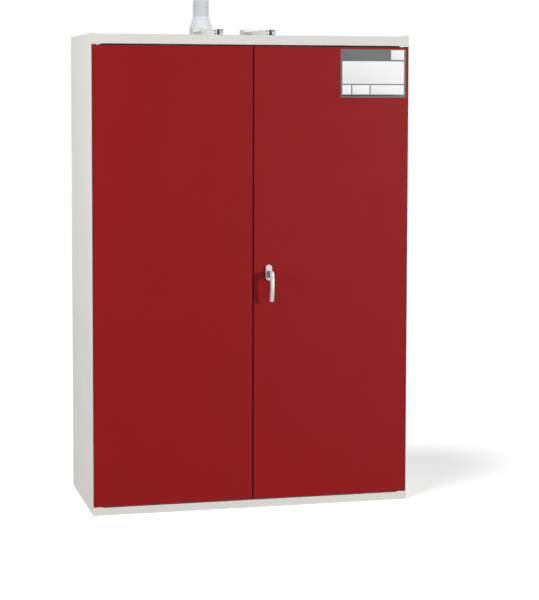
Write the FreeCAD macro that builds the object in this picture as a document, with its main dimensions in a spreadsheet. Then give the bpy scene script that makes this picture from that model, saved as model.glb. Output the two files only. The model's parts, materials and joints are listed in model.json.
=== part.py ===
"""Two-door fire-rated cabinet for pressurised-gas cylinders.

The origin is on the floor, under the middle of the cabinet. +X points to the right-hand door,
+Y to the back and +Z up. The doors are closed: their faces lie in the plane Y = front.
"""
import FreeCAD, Part
import os
import re
import math
import Sketcher
from FreeCAD import Placement, Rotation, Vector

# Driving dimensions, in millimetres, degrees or plain counts.
DIMENSIONS = (
    ("cab_width", 1398.0), ("cab_depth", 616.0), ("cab_height", 2050.0),
    ("gauge", 1.5), ("bend_radius", 2.0), ("hem", 3.0), ("top_return", 17.0), ("rear_return", 20.0),
    ("foot_return", 25.0),
    ("plinth_height", 33.0), ("fascia_height", 41.0), ("lip", 10.0),
    # gaps round the doors
    ("side_gap", 3.0), ("centre_gap", 6.0), ("low_gap", 5.0), ("top_gap", 6.0), ("seal_gap", 9.0),
    ("plug_gap", 6.0), ("seal_nip", 2.0), ("touch_gap", 0.5),
    # doors
    ("door_thick", 52.0), ("plug_depth", 33.0), ("plug_setback", 25.0), ("door_radius", 6.5),
    ("gasket_width", 14.0), ("edge_seal_depth", 12.0), ("edge_seal_width", 10.0),
    # pivot hinges
    ("pivot_inset", 24.0), ("pivot_setback", 10.0), ("pin_radius", 5.0), ("running_gap", 0.05),
    ("bush_half", 8.0), ("bush_length", 24.0), ("pin_reach", 18.0), ("bracket_thick", 3.0),
    ("bracket_depth", 38.0), ("bracket_inset", 14.0),
    # cylinder bay and the shell round it
    ("side_wall", 75.0), ("roof_wall", 94.0), ("sill_height", 90.0), ("back_wall", 63.0),
    ("frame_gauge", 2.0), ("frame_deep", 40.0), ("frame_flange", 20.0),
    ("strip_width", 20.0), ("strip_thick", 2.0),
    # handle, lock and bolts of the right-hand door
    ("handle_inset", 65.0), ("handle_height", 1026.5), ("rosette_width", 27.5), ("rosette_height", 68.0),
    ("rosette_thick", 11.0), ("neck_radius", 9.2), ("lever_reach", 60.0), ("lever_drop", 121.0),
    ("lever_rise", 12.0), ("lever_half", 9.7), ("lever_thick", 12.5), ("lever_bow", 11.0),
    ("lever_waist", 52.0), ("outer_arc", 215.0), ("inner_arc", 185.0), ("lever_bevel", 0.35),
    ("spindle_side", 8.0), ("barrel_radius", 7.5),
    ("plug_radius", 4.5), ("key_drop", 14.5), ("key_depth", 9.0), ("key_proud", 0.6),
    ("lock_width", 44.0), ("lock_height", 150.0), ("lock_inset", 12.0), ("bolt_cover", 12.0),
    ("bolt_radius", 6.0), ("bolt_inset", 24.0), ("bolt_gap", 2.0), ("strike_gap", 2.0),
    # air valves on the roof
    ("exhaust_x", -123.0), ("supply_x", 112.0), ("valve_setback", 108.0), ("valve_bore", 40.0),
    ("valve_width", 94.0), ("valve_depth", 86.0), ("valve_height", 40.0), ("valve_shift", 3.0),
    ("channel_width", 44.0), ("channel_length", 267.0), ("channel_height", 32.0), ("channel_shift", 11.0),
    ("block_width", 10.0), ("block_length", 30.0), ("clamp_width", 18.0), ("end_plate_width", 15.0),
    ("damper_gap", 1.5), ("damper_thick", 3.0), ("damper_drop", 44.0), ("damper_pin", 3.0),
    # exhaust reducer and pipe
    ("rim_radius", 51.0), ("rim_height", 15.0), ("cone_height", 42.0), ("pipe_radius", 37.5),
    ("pipe_wall", 2.0), ("pipe_length", 74.0),
    # fittings inside the bay
    ("rail_height", 30.0), ("rail_depth", 12.0), ("rail_standoff", 42.0), ("rail_margin", 12.0),
    ("low_rail", 420.0), ("rail_step", 560.0),
    ("cylinder_radius", 116.0), ("cradle_depth", 55.0), ("cradle_height", 40.0), ("cradle_bite", 36.0),
    ("cradle_gauge", 3.0), ("duct_width", 90.0), ("duct_depth", 38.0), ("duct_lift", 60.0),
    ("ramp_width", 600.0), ("ramp_length", 320.0), ("ramp_gauge", 3.0), ("ramp_edge", 18.0),
    ("knuckle_radius", 7.0), ("knuckle_length", 40.0), ("ramp_pin", 4.0), ("ramp_setback", 14.0),
    ("stud_radius", 3.0), ("stud_height", 12.0),
)

# Sizes and places worked out from the driving dimensions, in this order.
PLACES = (
    ("half_width", "cab_width / 2"),
    ("front", "-cab_depth / 2"),
    ("back", "cab_depth / 2"),
    ("inner_half", "half_width - gauge"),
    ("roof_top", "cab_height - hem"),
    ("fascia_low", "roof_top - fascia_height"),
    ("frame_face", "front + door_thick + seal_gap"),
    ("frame_back", "frame_face + frame_deep"),
    ("bay_half", "inner_half - side_wall"),
    ("bay_low", "sill_height"),
    ("bay_top", "roof_top - roof_wall"),
    ("bay_back", "back - back_wall"),
    ("board_back", "back - 2 * gauge"),
    ("door_out", "inner_half - side_gap"),
    ("door_in", "centre_gap / 2"),
    ("door_low", "plinth_height + low_gap"),
    ("door_top", "fascia_low - top_gap"),
    ("door_back", "front + door_thick"),
    ("plug_out", "bay_half - plug_gap"),
    ("plug_in", "door_in + plug_setback"),
    ("plug_low", "bay_low + plug_gap"),
    ("plug_top", "bay_top - plug_gap"),
    ("gasket_grow", "gasket_width + plug_gap - seal_nip"),
    ("pivot_x", "door_out - pivot_inset"),
    ("pivot_y", "front + pivot_setback"),
    ("handle_x", "door_in + handle_inset"),
    ("bolt_x", "door_in + bolt_inset"),
    ("bolt_y", "door_back - gauge - bolt_radius - bolt_cover"),
    ("lever_y", "front - lever_reach"),
    ("lever_waist_z", "handle_height - lever_waist"),
    ("key_face", "lever_y - lever_bow - lever_thick / 2 + (lever_waist - key_drop) ^ 2 / outer_arc / 2"),
    ("rosette_face", "front - rosette_thick"),
    ("lock_front", "front + gauge + lock_inset"),
    ("lock_rear", "bolt_y + bolt_radius + touch_gap"),
    ("lock_side", "bolt_x - bolt_radius - touch_gap"),
    ("valve_y", "back - valve_setback"),
    ("valve_top", "roof_top + valve_height"),
    ("valve_front", "valve_y - valve_depth / 2"),
    ("damper_z", "roof_top - damper_drop"),
    ("damper_radius", "valve_bore - damper_gap"),
    ("collar_out", "valve_bore + pipe_wall"),
    ("pipe_low", "valve_top + rim_height + cone_height"),
    ("channel_front", "valve_front - channel_length"),
    ("rail_face", "bay_back - rail_standoff"),
    ("rail_front", "rail_face - rail_depth"),
    ("cradle_front", "rail_front - cradle_depth"),
    ("ramp_y", "frame_back + ramp_setback"),
    ("ramp_z", "bay_low + knuckle_radius + 2 * touch_gap"),
)

SIDES = (("left", -1), ("right", 1))
VALVES = (("exhaust", "exhaust_x"), ("supply", "supply_x"))

doc = FreeCAD.newDocument("gas_cylinder_cabinet")
NODES = []


# ---------------------------------------------------------------- sizes

def make_sheet():
    """The driving dimensions as a spreadsheet, one alias to a row."""
    sheet = doc.addObject("Spreadsheet::Sheet", "Dims")
    for row, (name, value) in enumerate(DIMENSIONS, 1):
        sheet.set(f"A{row}", name)
        sheet.set(f"B{row}", str(value))
        sheet.setAlias(f"B{row}", name)
    doc.recompute()
    return sheet


def make_places():
    """The worked-out sizes as one object whose values follow the sheet."""
    places = doc.addObject("App::VarSet", "Places")
    for name, text in PLACES:
        places.addProperty("App::PropertyFloat", name)
        places.setExpression(name, bound(text))
        OWNER[name] = "Places."
    doc.recompute()
    return places


OWNER = {name: "Dims." for name, _ in DIMENSIONS}


def bound(text):
    """An expression with each named size written out with the object that owns it."""
    return re.sub(r"[a-z_]+", lambda found: OWNER.get(found.group(), "") + found.group(), str(text))


def minus(text):
    return f"-({text})"


def span(sign, near, far):
    """A stretch along X from near to far, on the right (sign 1) or mirrored on the left."""
    return (near, far) if sign > 0 else (minus(far), minus(near))


# ---------------------------------------------------------------- sketches and features

def node(made, label=None):
    """Marks an object as a sub-part that is written to its own file."""
    made.Label = label or made.Label
    NODES.append(made)
    return made


def make_body(label):
    return node(doc.addObject("PartDesign::Body", label), label)


def sketch_on(body, role, offset):
    """An empty sketch on one of the body's own planes, moved along the plane's normal."""
    sketch = body.newObject("Sketcher::SketchObject", f"{body.Name}_outline")
    plane = next(item for item in body.Origin.OriginFeatures if item.Role == role)
    sketch.AttachmentSupport = [(plane, "")]
    sketch.MapMode = "FlatFace"
    sketch.setExpression("AttachmentOffset.Base.z", bound(offset))
    return sketch


def front_sketch(body, y):
    """Draws in X and Z at the depth y. A pad grows towards the back, a pocket too."""
    return sketch_on(body, "XZ_Plane", minus(y))


def plan_sketch(body, z):
    """Draws in X and Y at the height z. A pad grows upwards, a pocket downwards."""
    return sketch_on(body, "XY_Plane", z)


def side_sketch(body, x):
    """Draws in Y and Z at x. A pad grows towards +X."""
    return sketch_on(body, "YZ_Plane", x)


def locate(sketch, index, vertex, x, y):
    """Binds a point of the sketch to two expressions."""
    for kind, text in (("DistanceX", x), ("DistanceY", y)):
        number = sketch.addConstraint(Sketcher.Constraint(kind, -1, 1, index, vertex, 1.0))
        sketch.setExpression(f"Constraints[{number}]", bound(text))


def draw_polygon(sketch, corners):
    """A closed outline through corners given as pairs of expressions."""
    count = len(corners)
    first = sketch.GeometryCount
    turns = [2 * math.pi * step / count for step in range(count)]
    start = [Vector(math.cos(turn), math.sin(turn), 0) for turn in turns]
    for step in range(count):
        sketch.addGeometry(Part.LineSegment(start[step], start[(step + 1) % count]), False)
    for step in range(count):
        following = first + (step + 1) % count
        sketch.addConstraint(Sketcher.Constraint("Coincident", first + step, 2, following, 1))
    for step, (x, y) in enumerate(corners):
        locate(sketch, first + step, 1, x, y)
    return sketch


def draw_rectangle(sketch, across, up):
    (left, right), (low, high) = across, up
    return draw_polygon(sketch, ((left, low), (right, low), (right, high), (left, high)))


def draw_circle(sketch, x, y, radius):
    index = sketch.addGeometry(Part.Circle(Vector(0, 0, 0), Vector(0, 0, 1), 1.0), False)
    locate(sketch, index, 3, x, y)
    number = sketch.addConstraint(Sketcher.Constraint("Radius", index, 1.0))
    sketch.setExpression(f"Constraints[{number}]", bound(radius))
    return sketch


def pad(body, sketch, length, reverse=None, both=False):
    """Grows a sketch into a solid. Front sketches grow backwards unless told otherwise."""
    made = body.newObject("PartDesign::Pad", f"{body.Name}_pad")
    made.Profile = sketch
    made.setExpression("Length", bound(length))
    faces_front = "XZ" in sketch.AttachmentSupport[0][0].Role
    made.Reversed = faces_front if reverse is None else reverse
    made.SideType = "Symmetric" if both else "One side"
    sketch.Visibility = False
    return made


def pocket(body, sketch, length=None, reverse=False, both=False):
    """Cuts a sketch out of the body, to a length or right through."""
    made = body.newObject("PartDesign::Pocket", f"{body.Name}_pocket")
    made.Profile = sketch
    made.Reversed = reverse
    made.SideType = "Symmetric" if both else "One side"
    if length is None:
        made.Type = "ThroughAll"
    else:
        made.setExpression("Length", bound(length))
    sketch.Visibility = False
    return made


def dress_edges(body, feature, size, length, wanted):
    """Dresses the edges of the body's last feature that the test picks."""
    doc.recompute()
    last = body.Tip
    names = [f"Edge{n}" for n, edge in enumerate(last.Shape.Edges, 1) if wanted(edge)]
    made = body.newObject(f"PartDesign::{feature}", f"{body.Name}_{feature.lower()}")
    made.Base = (last, names)
    made.setExpression(size, bound(length))
    return made


def lies_at(**places):
    """A test for edges that lie wholly at the given coordinates, each a named size."""
    def test(edge):
        run = edge.BoundBox
        ends = [(getattr(run, f"{axis.upper()}{end}"), place) for axis, place in places.items()
                for end in ("Min", "Max")]
        return all(abs(found - place) < 0.01 for found, place in ends)
    return test


def round_edges(body, radius, wanted):
    return dress_edges(body, "Fillet", "Radius", radius, wanted)


def chamfer_edges(body, size, wanted):
    return dress_edges(body, "Chamfer", "Size", size, wanted)


def block(label, across, deep, tall):
    """A Part::Box between three pairs of expressions."""
    made = doc.addObject("Part::Box", label)
    for (low, high), size, axis in zip((across, deep, tall), ("Length", "Width", "Height"), "xyz"):
        made.setExpression(size, bound(f"({high}) - ({low})"))
        made.setExpression(f"Placement.Base.{axis}", bound(low))
    return made


TURNS = {"x": Rotation(Vector(0, 1, 0), 90), "y": Rotation(Vector(1, 0, 0), -90), "z": Rotation()}


def rod(label, start, axis, radius, length):
    """A Part::Cylinder from a start point along the row's +x, +y or +z."""
    made = doc.addObject("Part::Cylinder", label)
    made.Placement = Placement(Vector(), TURNS[axis])
    made.setExpression("Radius", bound(radius))
    made.setExpression("Height", bound(length))
    for value, name in zip(start, "xyz"):
        made.setExpression(f"Placement.Base.{name}", bound(value))
    return made


def joined(label, pieces):
    made = doc.addObject("Part::MultiFuse", label)
    made.Shapes = list(pieces)
    return made


def cut_from(label, base, tools):
    made = doc.addObject("Part::Cut", label)
    made.Base = base
    made.Tool = tools[0] if len(tools) == 1 else joined(f"{label}_tools", tools)
    return made


def group(label, pieces):
    """Several separate solids that share one node."""
    made = doc.addObject("Part::Compound", label)
    made.Links = list(pieces)
    return node(made)


def value(name):
    return getattr(places, name) if OWNER[name] == "Places." else sheet.get(name)


# ---------------------------------------------------------------- outer shell

def side_cladding(side, sign):
    """A folded side panel with returns along its top, its foot and its rear edge."""
    body = make_body(f"side_cladding_{side}")
    corners = (
        ("half_width", "0"), ("half_width", "cab_height"),
        ("half_width - top_return", "cab_height"), ("half_width - top_return", "roof_top"),
        ("inner_half", "roof_top"), ("inner_half", "gauge"),
        ("half_width - foot_return", "gauge"), ("half_width - foot_return", "0"),
    )
    profile = draw_polygon(front_sketch(body, "front"), [(f"{sign} * ({x})", z) for x, z in corners])
    pad(body, profile, "cab_depth")
    for z in (0, value("cab_height")):
        round_edges(body, "bend_radius", lies_at(x=sign * value("half_width"), z=z))
    across = span(sign, "inner_half - rear_return", "inner_half")
    rear = draw_rectangle(front_sketch(body, "board_back"), across, ("gauge", "roof_top - gauge"))
    pad(body, rear, "gauge")


def back_cladding():
    """The rear sheet, let in between the side panels and lapped over their returns."""
    across = (minus("inner_half"), "inner_half")
    node(block("back_cladding", across, ("back - gauge", "back"), ("gauge", "roof_top")))


def valve_openings(body, z, half):
    """Cuts a square opening for each air valve down from the height z."""
    openings = plan_sketch(body, z)
    for _, x in VALVES:
        draw_rectangle(openings, (f"{x} - ({half})", f"{x} + ({half})"),
                       (f"valve_y - ({half})", f"valve_y + ({half})"))
    pocket(body, openings)


def roof_cladding():
    """The roof sheet, with a square opening for each air valve."""
    body = make_body("roof_cladding")
    across = (minus("inner_half"), "inner_half")
    plan = draw_rectangle(plan_sketch(body, "roof_top - gauge"), across, ("front + gauge", "back - gauge"))
    pad(body, plan, "gauge")
    valve_openings(body, "roof_top", "collar_out")


def strike_sketch(body, z):
    """The square mouth that a bolt is thrown into, in a rail's return."""
    half = "(bolt_radius + strike_gap)"
    return draw_rectangle(plan_sketch(body, z), (f"bolt_x - {half}", f"bolt_x + {half}"),
                          (f"bolt_y - {half}", f"bolt_y + {half}"))


def fascia():
    """The folded rail above the doors: face, return over the doors and an upturned lip."""
    body = make_body("fascia")
    profile = draw_polygon(side_sketch(body, "0"), (
        ("front", "fascia_low"), ("front", "roof_top"),
        ("front + gauge", "roof_top"), ("front + gauge", "fascia_low + gauge"),
        ("frame_face - gauge", "fascia_low + gauge"), ("frame_face - gauge", "fascia_low + lip"),
        ("frame_face", "fascia_low + lip"), ("frame_face", "fascia_low"),
    ))
    pad(body, profile, "2 * inner_half", both=True)
    round_edges(body, "bend_radius", lies_at(y=value("front"), z=value("fascia_low")))
    pocket(body, strike_sketch(body, "fascia_low + gauge"), "gauge")


def plinth():
    """The folded rail below the doors, with its return turned down at the frame."""
    body = make_body("plinth")
    profile = draw_polygon(side_sketch(body, "0"), (
        ("front", "gauge"), ("front", "plinth_height"), ("frame_face", "plinth_height"),
        ("frame_face", "plinth_height - lip"), ("frame_face - gauge", "plinth_height - lip"),
        ("frame_face - gauge", "plinth_height - gauge"), ("front + gauge", "plinth_height - gauge"),
        ("front + gauge", "gauge"),
    ))
    pad(body, profile, "2 * inner_half", both=True)
    round_edges(body, "bend_radius", lies_at(y=value("front"), z=value("plinth_height")))
    pocket(body, strike_sketch(body, "plinth_height"), "gauge")


def base_pan():
    """The bottom sheet that the cabinet stands on, with an upstand strip along each side."""
    reach = "(half_width - foot_return - touch_gap)"
    deep = ("front", "back - 2 * gauge")
    pieces = [block("base_sheet", (minus(reach), reach), deep, ("0", "gauge"))]
    for side, sign in SIDES:
        strip = span(sign, f"{reach} - gauge", reach)
        pieces.append(block(f"base_strip_{side}", strip, ("front + gauge", "back - 2 * gauge"),
                            ("gauge", "lip")))
    group("base_pan", pieces)


# ---------------------------------------------------------------- insulation and lining

def insulation():
    """Fire-resisting boards between the outer shell and the lining."""
    behind = ("frame_face + frame_gauge", "board_back")
    over_bay = (minus("bay_half + frame_gauge"), "bay_half + frame_gauge")
    for side, sign in SIDES:
        across = span(sign, "bay_half + frame_gauge", "inner_half - frame_gauge - touch_gap")
        node(block(f"wall_board_{side}", across, behind, ("lip", "roof_top - gauge")))
    node(block("back_board", over_bay, ("bay_back + frame_gauge", "board_back"),
               ("bay_low - frame_gauge", "bay_top + frame_gauge")))
    between_posts = (minus("bay_half"), "bay_half")
    node(block("floor_board", between_posts, behind, ("gauge", "bay_low - frame_gauge")))
    body = make_body("roof_board")
    plan = draw_rectangle(plan_sketch(body, "bay_top + frame_gauge"), between_posts, behind)
    pad(body, plan, "roof_top - gauge - bay_top - frame_gauge")
    valve_openings(body, "roof_top - gauge", "collar_out + touch_gap")


def lining():
    """The washable sheets that face the cylinder bay."""
    inside = ("frame_back", "bay_back")
    over_bay = (minus("bay_half + frame_gauge"), "bay_half + frame_gauge")
    for side, sign in SIDES:
        across = span(sign, "bay_half", "bay_half + frame_gauge")
        node(block(f"lining_{side}", across, inside, ("bay_low", "bay_top")))
    node(block("lining_back", over_bay, ("bay_back", "bay_back + frame_gauge"),
               ("bay_low - frame_gauge", "bay_top + frame_gauge")))
    node(block("lining_floor", over_bay, inside, ("bay_low - frame_gauge", "bay_low")))
    body = make_body("lining_roof")
    pad(body, draw_rectangle(plan_sketch(body, "bay_top"), over_bay, inside), "frame_gauge")
    valve_openings(body, "bay_top + frame_gauge", "valve_bore")


def door_frame():
    """Folded posts, head and sill that the doors close against."""
    for side, sign in SIDES:
        body = make_body(f"frame_post_{side}")
        far = "inner_half - touch_gap"
        corners = (
            ("bay_half", "frame_face"), (far, "frame_face"),
            (far, "frame_face + frame_flange"), (f"{far} - frame_gauge", "frame_face + frame_flange"),
            (f"{far} - frame_gauge", "frame_face + frame_gauge"),
            ("bay_half + frame_gauge", "frame_face + frame_gauge"),
            ("bay_half + frame_gauge", "frame_back"), ("bay_half", "frame_back"),
        )
        profile = draw_polygon(plan_sketch(body, "lip"), [(f"{sign} * ({x})", y) for x, y in corners])
        pad(body, profile, "roof_top - gauge - lip")
    for label, edge, far, up in (("frame_head", "bay_top", "roof_top - gauge", 1),
                                 ("frame_sill", "bay_low", "gauge", -1)):
        body = make_body(label)
        profile = draw_polygon(side_sketch(body, "0"), (
            ("frame_face", edge), ("frame_face", far), ("frame_face + frame_gauge", far),
            ("frame_face + frame_gauge", f"{edge} + {up} * frame_gauge"),
            ("frame_back", f"{edge} + {up} * frame_gauge"), ("frame_back", edge),
        ))
        pad(body, profile, "2 * bay_half", both=True)


def fire_strips():
    """Strips that swell in a fire, glued round the inside of the door frame."""
    deep = ("frame_back - strip_width", "frame_back")
    pieces = []
    for side, sign in SIDES:
        across = span(sign, "bay_half - strip_thick", "bay_half")
        pieces.append(block(f"strip_{side}", across, deep,
                            ("bay_low + strip_thick", "bay_top - strip_thick")))
    over = (minus("bay_half"), "bay_half")
    pieces.append(block("strip_low", over, deep, ("bay_low", "bay_low + strip_thick")))
    pieces.append(block("strip_top", over, deep, ("bay_top - strip_thick", "bay_top")))
    group("fire_strips", pieces)


# ---------------------------------------------------------------- pivot hinges

def hinge_brackets():
    """Four plates on the rails, each with a welded pin that enters a door's bush."""
    pieces = []
    for side, sign in SIDES:
        across = span(sign, "pivot_x - bracket_inset", "inner_half")
        deep = ("front + gauge", "front + gauge + bracket_depth")
        x = f"{sign} * pivot_x"
        low = block(f"plate_low_{side}", across, deep, ("plinth_height", "plinth_height + bracket_thick"))
        up_pin = rod(f"pin_low_{side}", (x, "pivot_y", "plinth_height"), "z", "pin_radius",
                     "low_gap + pin_reach")
        high = block(f"plate_top_{side}", across, deep, ("fascia_low - bracket_thick", "fascia_low"))
        down_pin = rod(f"pin_top_{side}", (x, "pivot_y", "door_top - pin_reach"), "z", "pin_radius",
                       "top_gap + pin_reach")
        pieces.append(joined(f"bracket_low_{side}", (low, up_pin)))
        pieces.append(joined(f"bracket_top_{side}", (high, down_pin)))
    group("hinge_brackets", pieces)


def bush_square(sign, half):
    """The square round a door's pivot, as its stretches along X and Y."""
    middle = f"{sign} * pivot_x"
    return (f"{middle} - ({half})", f"{middle} + ({half})"), (f"pivot_y - ({half})", f"pivot_y + ({half})")


def door_bushes(side, sign):
    """Square bearing blocks let into the top and the foot of a door."""
    pieces = []
    across, deep = bush_square(sign, "bush_half")
    for end, low in (("low", "door_low"), ("top", "door_top - bush_length")):
        outer = block(f"bush_{end}_{side}", across, deep, (low, f"{low} + bush_length"))
        start = (f"{sign} * pivot_x", "pivot_y", low)
        bore = rod(f"bush_bore_{end}_{side}", start, "z", "pin_radius + running_gap", "bush_length")
        pieces.append(cut_from(f"bush_ring_{end}_{side}", outer, (bore,)))
    group(f"door_bushes_{side}", pieces)


# ---------------------------------------------------------------- doors

def outer_corner(edge):
    """True for an edge that runs front to back at a door's outer side."""
    run = edge.BoundBox
    flat = run.XLength < 0.01 and run.ZLength < 0.01
    return flat and abs(abs(run.XMin) - value("door_out")) < 0.01


def door_skin(side, sign):
    """The painted pan: face and four flanges, open at the back."""
    body = make_body(f"door_skin_{side}")
    outline = draw_rectangle(front_sketch(body, "front"), span(sign, "door_in", "door_out"),
                             ("door_low", "door_top"))
    pad(body, outline, "door_thick - gauge")
    round_edges(body, "door_radius", outer_corner)
    round_edges(body, "bend_radius", lies_at(y=value("front")))
    hollow = draw_rectangle(front_sketch(body, "front + gauge"),
                            span(sign, "door_in + gauge", "door_out - gauge"),
                            ("door_low + gauge", "door_top - gauge"))
    pocket(body, hollow)
    pocket(body, draw_rectangle(plan_sketch(body, "door_top"), *bush_square(sign, "bush_half")))
    if side == "right":
        bolts = draw_circle(plan_sketch(body, "door_top"), "bolt_x", "bolt_y", "bolt_radius + touch_gap")
        pocket(body, bolts)
        spindle = draw_circle(front_sketch(body, "front"), "handle_x", "handle_height", "spindle_side")
        pocket(body, spindle, "2 * gauge")


def door_core(side, sign):
    """The insulating board that fills the pan and the plug behind it."""
    body = make_body(f"door_core_{side}")
    across = span(sign, "door_in + gauge + touch_gap", "door_out - gauge - touch_gap")
    tall = ("door_low + gauge + touch_gap", "door_top - gauge - touch_gap")
    pad(body, draw_rectangle(front_sketch(body, "front + gauge"), across, tall), "door_thick - 2 * gauge")
    inside = span(sign, "plug_in + gauge + touch_gap", "plug_out - gauge - touch_gap")
    height = ("plug_low + gauge + touch_gap", "plug_top - gauge - touch_gap")
    pad(body, draw_rectangle(front_sketch(body, "door_back - gauge"), inside, height), "plug_depth")
    notch = span(sign, "pivot_x - bush_half - touch_gap", "door_out")
    deep = ("front", "pivot_y + bush_half + touch_gap")
    for z, reverse in (("door_low + bush_length + touch_gap", False),
                       ("door_top - bush_length - touch_gap", True)):
        pocket(body, draw_rectangle(plan_sketch(body, z), notch, deep), reverse=reverse)
    if side == "right":
        channel = ("bolt_x - bolt_radius - strike_gap", "bolt_x + bolt_radius + strike_gap")
        depth = ("bolt_y - bolt_radius - strike_gap", "bolt_y + bolt_radius + strike_gap")
        pocket(body, draw_rectangle(plan_sketch(body, "door_top"), channel, depth))
        case = ("lock_side - touch_gap", "handle_x + lock_width / 2 + touch_gap")
        reach = "(lock_height / 2 + touch_gap)"
        seat = (f"handle_height - {reach}", f"handle_height + {reach}")
        recess = draw_rectangle(front_sketch(body, "front + gauge"), case, seat)
        pocket(body, recess, "lock_rear + touch_gap - front - gauge")


def door_liner(side, sign):
    """The rear sheet of a door with the plug pressed out of it."""
    body = make_body(f"door_liner_{side}")
    sheet_outline = draw_rectangle(front_sketch(body, "door_back - gauge"),
                                   span(sign, "door_in", "door_out"), ("door_low", "door_top"))
    pad(body, sheet_outline, "gauge")
    round_edges(body, "door_radius", outer_corner)
    plug = draw_rectangle(front_sketch(body, "door_back"), span(sign, "plug_in", "plug_out"),
                          ("plug_low", "plug_top"))
    pad(body, plug, "plug_depth")
    hollow = draw_rectangle(front_sketch(body, "door_back - gauge"),
                            span(sign, "plug_in + gauge", "plug_out - gauge"),
                            ("plug_low + gauge", "plug_top - gauge"))
    pocket(body, hollow, "plug_depth")


def door_gasket(side, sign):
    """The seal round the plug, and the strip along the door's free edge."""
    outer = block(f"seal_outer_{side}", span(sign, "plug_in - gasket_grow", "plug_out + gasket_grow"),
                  ("door_back", "frame_face - touch_gap"),
                  ("plug_low - gasket_grow", "plug_top + gasket_grow"))
    inner = block(f"seal_inner_{side}",
                  span(sign, "plug_in - plug_gap + seal_nip", "plug_out + plug_gap - seal_nip"),
                  ("door_back", "frame_face - touch_gap"),
                  ("plug_low - plug_gap + seal_nip", "plug_top + plug_gap - seal_nip"))
    edge = block(f"edge_seal_{side}", span(sign, "touch_gap", "door_in"),
                 ("front + edge_seal_depth", "front + edge_seal_depth + edge_seal_width"),
                 ("door_low", "door_top"))
    group(f"door_gasket_{side}", (cut_from(f"seal_ring_{side}", outer, (inner,)), edge))


# ---------------------------------------------------------------- handle, lock and bolts

def rosette():
    """The long rounded plate on the door that carries the handle."""
    body = make_body("rosette")
    across = ("handle_x - rosette_width / 2", "handle_x + rosette_width / 2")
    tall = ("handle_height - rosette_height / 2", "handle_height + rosette_height / 2")
    pad(body, draw_rectangle(front_sketch(body, "front"), across, tall), "rosette_thick", reverse=False)
    round_edges(body, "rosette_width / 2 - touch_gap", lambda edge: edge.BoundBox.YLength > 1)
    chamfer_edges(body, "rosette_thick / 4",
                  lambda edge: edge.BoundBox.YMax < value("front") - value("gauge"))
    hole = draw_circle(front_sketch(body, "rosette_face"), "handle_x", "handle_height",
                       "neck_radius + running_gap")
    pocket(body, hole)


def lever():
    """The bowed grip: a flat blank with a round head, shaped by one arc in front and one behind."""
    top, end = "handle_height + lever_rise - lever_half", "handle_height - lever_drop"
    across = ("handle_x - lever_half", "handle_x + lever_half")
    head = rod("lever_head", ("handle_x", "lever_y - 2 * lever_thick", top), "y", "lever_half",
               "4 * lever_thick")
    grip = block("lever_grip", across, ("lever_y - 2 * lever_thick", "lever_y + 2 * lever_thick"), (end, top))
    blank = joined("lever_blank", (head, grip))
    start = ("handle_x - lever_half", "lever_y - lever_bow - lever_thick / 2 + outer_arc", "lever_waist_z")
    outer = rod("lever_outer_arc", start, "x", "outer_arc", "2 * lever_half")
    start = ("handle_x - lever_half", "lever_y - lever_bow + lever_thick / 2 + inner_arc", "lever_waist_z")
    inner = rod("lever_inner_arc", start, "x", "inner_arc", "2 * lever_half")
    bowed = doc.addObject("Part::Common", "lever_front_shape")
    bowed.Base = blank
    bowed.Tool = outer
    shaped = cut_from("lever_shaped", bowed, (inner,))
    doc.recompute()
    made = doc.addObject("Part::Chamfer", "lever")
    made.Base = shaped
    size = value("lever_half") * value("lever_bevel")
    width = 2 * value("lever_half")
    made.Edges = [(n, size, size) for n, edge in enumerate(shaped.Shape.Edges, 1)
                  if edge.BoundBox.XLength < 0.01 or abs(edge.BoundBox.XLength - width) < 0.01
                  and edge.BoundBox.ZLength > 1]
    return made


def handle():
    """The lever with its neck, its square spindle and the barrel bored for the lock plug."""
    start = "lever_y - lever_thick / 2"
    neck = rod("neck", ("handle_x", start, "handle_height"), "y", "neck_radius",
               "lever_reach + lever_thick / 2 - touch_gap")
    deep = "lever_reach + lever_thick / 2 - rosette_thick - running_gap"
    barrel = rod("key_barrel", ("handle_x", start, "handle_height - key_drop"), "y", "barrel_radius", deep)
    web = block("neck_web", ("handle_x - barrel_radius", "handle_x + barrel_radius"),
                (start, f"{start} + {deep}"), ("handle_height - key_drop", "handle_height"))
    side = "spindle_side / 2"
    spindle = block("spindle", (f"handle_x - {side}", f"handle_x + {side}"),
                    ("lever_y", "lock_rear"),
                    (f"handle_height - {side}", f"handle_height + {side}"))
    bore = rod("key_bore", ("handle_x", "key_face - lever_thick", "handle_height - key_drop"), "y",
               "plug_radius + running_gap", "lever_thick + key_depth")
    solid = joined("lever_and_neck", (lever(), neck, barrel, web, spindle))
    node(cut_from("handle", solid, (bore,)))


def key_plug():
    """The round lock plug in the lever, with its key slot."""
    start = ("handle_x", "key_face - key_proud", "handle_height - key_drop")
    plug = rod("plug_round", start, "y", "plug_radius", "key_proud + key_depth - touch_gap")
    slot = block("plug_slot", ("handle_x - plug_radius / 8", "handle_x + plug_radius / 8"),
                 ("key_face - key_proud", "key_face + key_depth / 2"),
                 ("handle_height - key_drop - plug_radius * 0.7",
                  "handle_height - key_drop + plug_radius * 0.7"))
    node(cut_from("key_plug", plug, (slot,)))


def lock_case():
    """The flat case behind the door face that the spindle passes through."""
    body = make_body("lock_case")
    across = ("lock_side", "handle_x + lock_width / 2")
    tall = ("handle_height - lock_height / 2", "handle_height + lock_height / 2")
    pad(body, draw_rectangle(front_sketch(body, "lock_front"), across, tall), "lock_rear - lock_front")
    hole = draw_circle(front_sketch(body, "lock_front"), "handle_x", "handle_height", "spindle_side")
    pocket(body, hole)


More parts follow.
